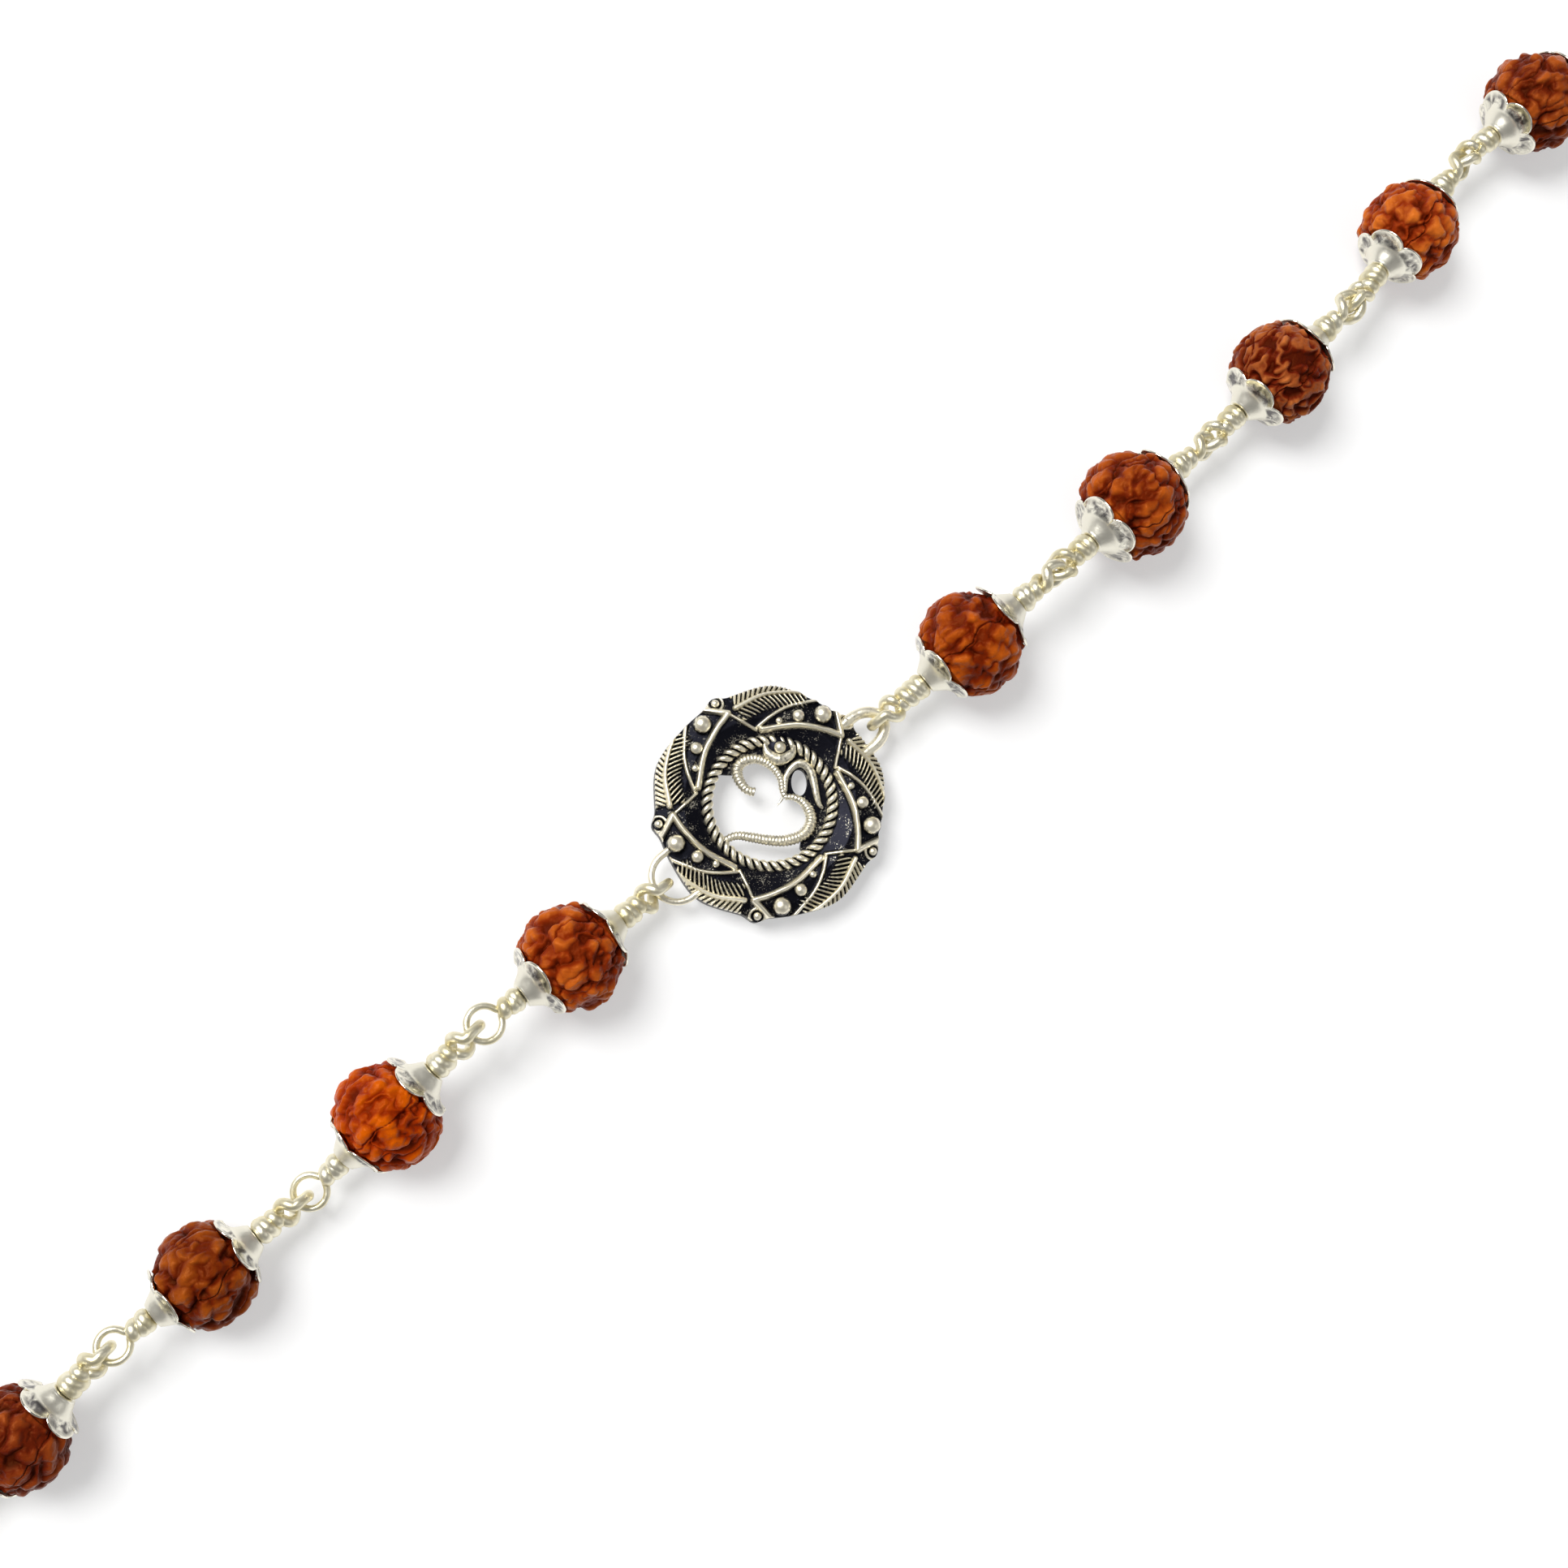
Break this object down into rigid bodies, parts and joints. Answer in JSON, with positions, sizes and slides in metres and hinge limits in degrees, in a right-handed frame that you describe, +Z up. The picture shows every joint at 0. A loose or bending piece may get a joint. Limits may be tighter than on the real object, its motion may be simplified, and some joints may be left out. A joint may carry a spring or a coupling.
{
  "type": "wrist rosary",
  "caption": "Strand of bored rudraksha seeds in petal caps on wrapped wire links, with a cast openwork Om medallion, closed by a hook and ring.",
  "frame": {"origin": "middle of the strand's footprint on the table it lies on", "axes": "+X along the strand from the ring to the hook, +Z up out of the medallion's face"},
  "size_m": [0.1786, 0.0172, 0.0076],
  "materials": {
    "rudraksha_seed": "oiled woody seed, knobbly",
    "polished_silver": "silver-plated brass, polished",
    "gilt_silver_wire": "pale gilt silver wire, bright",
    "oxidised_silver": "cast, blackened in the recesses and worn bright on the ridges"
  },
  "bodies": {
    "medallion": {"medallion": "oxidised_silver"},
    "hook": {"s_hook": "gilt_silver_wire"},
    "ring": {"closing_ring": "gilt_silver_wire"},
    "link_r1": {"wire_r1": "gilt_silver_wire"},
    "seed_r1": {"seed_r1": "rudraksha_seed", "cap_inner_r1": "polished_silver", "cap_outer_r1": "polished_silver"},
    "link_r2": {"wire_r2": "gilt_silver_wire"},
    "seed_r2": {"seed_r2": "rudraksha_seed", "cap_inner_r2": "polished_silver", "cap_outer_r2": "polished_silver"},
    "link_r3": {"wire_r3": "gilt_silver_wire"},
    "seed_r3": {"seed_r3": "rudraksha_seed", "cap_inner_r3": "polished_silver", "cap_outer_r3": "polished_silver"},
    "link_r4": {"wire_r4": "gilt_silver_wire"},
    "seed_r4": {"seed_r4": "rudraksha_seed", "cap_inner_r4": "polished_silver", "cap_outer_r4": "polished_silver"},
    "link_r5": {"wire_r5": "gilt_silver_wire"},
    "seed_r5": {"seed_r5": "rudraksha_seed", "cap_inner_r5": "polished_silver", "cap_outer_r5": "polished_silver"},
    "link_l1": {"wire_l1": "gilt_silver_wire"},
    "seed_l1": {"seed_l1": "rudraksha_seed", "cap_inner_l1": "polished_silver", "cap_outer_l1": "polished_silver"},
    "link_l2": {"wire_l2": "gilt_silver_wire"},
    "seed_l2": {"seed_l2": "rudraksha_seed", "cap_inner_l2": "polished_silver", "cap_outer_l2": "polished_silver"},
    "link_l3": {"wire_l3": "gilt_silver_wire"},
    "seed_l3": {"seed_l3": "rudraksha_seed", "cap_inner_l3": "polished_silver", "cap_outer_l3": "polished_silver"},
    "link_l4": {"wire_l4": "gilt_silver_wire"},
    "seed_l4": {"seed_l4": "rudraksha_seed", "cap_inner_l4": "polished_silver", "cap_outer_l4": "polished_silver"}
  },
  "joints": [
    {"name": "bend_r1", "type": "hinge", "parent": "medallion", "child": "link_r1", "pos_m": [0.00138, -0.00075, 0.002], "axis": [-0.0698, -0.9976, 0], "range_deg": [-75, 75]},
    {"name": "spin_r1", "type": "hinge", "parent": "link_r1", "child": "seed_r1", "pos_m": [0.00996, -0.00097, 0.00385], "axis": [0.9861, -0.0258, 0.1643], "continuous": true},
    {"name": "bend_r2", "type": "hinge", "parent": "link_r1", "child": "link_r2", "pos_m": [0.01778, -0.00118, 0.00506], "axis": [0.063, -0.7673, 0.6382], "range_deg": [-75, 75]},
    {"name": "spin_r2", "type": "hinge", "parent": "link_r2", "child": "seed_r2", "pos_m": [0.02664, -0.00134, 0.004], "axis": [0.9928, -0.0173, -0.1188], "continuous": true},
    {"name": "bend_r3", "type": "hinge", "parent": "link_r2", "child": "link_r3", "pos_m": [0.03536, -0.00149, 0.00296], "axis": [-0.0897, -0.7646, -0.6382], "range_deg": [-75, 75]},
    {"name": "spin_r3", "type": "hinge", "parent": "link_r3", "child": "seed_r3", "pos_m": [0.04302, -0.00122, 0.00378], "axis": [0.9972, 0.0348, 0.0666], "continuous": true},
    {"name": "bend_r4", "type": "hinge", "parent": "link_r3", "child": "link_r4", "pos_m": [0.05094, -0.00108, 0.00412], "axis": [0.0538, 0.0095, 0.9985], "range_deg": [-75, 75]},
    {"name": "spin_r4", "type": "hinge", "parent": "link_r4", "child": "seed_r4", "pos_m": [0.05933, 0.0004, 0.00365], "axis": [0.9833, 0.1734, -0.0546], "continuous": true},
    {"name": "bend_r5", "type": "hinge", "parent": "link_r4", "child": "link_r5", "pos_m": [0.06747, 0.00183, 0.0032], "axis": [0.1235, -0.8576, -0.4993], "range_deg": [-75, 75]},
    {"name": "spin_r5", "type": "hinge", "parent": "link_r5", "child": "seed_r5", "pos_m": [0.075, 0.00145, 0.0038], "axis": [0.9978, -0.0523, 0.0418], "continuous": true},
    {"name": "bend_l1", "type": "hinge", "parent": "medallion", "child": "link_l1", "pos_m": [-0.01998, 0.00064, 0.002], "axis": [0.0593, 0.9982, 0], "range_deg": [-75, 75]},
    {"name": "spin_l1", "type": "hinge", "parent": "link_l1", "child": "seed_l1", "pos_m": [-0.02788, 0.00119, 0.00375], "axis": [-0.9838, 0.0688, 0.1654], "continuous": true},
    {"name": "bend_l2", "type": "hinge", "parent": "link_l1", "child": "link_l2", "pos_m": [-0.03585, 0.00186, 0.005], "axis": [-0.1471, -0.0077, 0.9891], "range_deg": [-75, 75]},
    {"name": "spin_l2", "type": "hinge", "parent": "link_l2", "child": "seed_l2", "pos_m": [-0.04473, 0.00139, 0.00367], "axis": [-0.9877, -0.0518, -0.1473], "continuous": true},
    {"name": "bend_l3", "type": "hinge", "parent": "link_l2", "child": "link_l3", "pos_m": [-0.05345, 0.00094, 0.00238], "axis": [-0.0523, 0.9986, 0], "range_deg": [-75, 75]},
    {"name": "spin_l3", "type": "hinge", "parent": "link_l3", "child": "seed_l3", "pos_m": [-0.06111, 0.00147, 0.0035], "axis": [-0.9925, 0.0694, 0.1011], "continuous": true},
    {"name": "bend_l4", "type": "hinge", "parent": "link_l3", "child": "link_l4", "pos_m": [-0.0686, 0.00213, 0.00411], "axis": [-0.0715, -0.005, 0.9974], "range_deg": [-75, 75]},
    {"name": "spin_l4", "type": "hinge", "parent": "link_l4", "child": "seed_l4", "pos_m": [-0.07706, 0.00154, 0.0035], "axis": [-0.995, -0.0696, -0.0717], "continuous": true},
    {"name": "swing_hook", "type": "hinge", "parent": "link_r5", "child": "hook", "pos_m": [0.08302, 0.00103, 0.00418], "axis": [-0.0523, -0.9986, 0], "range_deg": [-75, 75]},
    {"name": "swing_ring", "type": "hinge", "parent": "link_l4", "child": "ring", "pos_m": [-0.08478, 0.001, 0.00287], "axis": [-0.0698, 0.9976, 0], "range_deg": [-75, 75]}
  ]
}
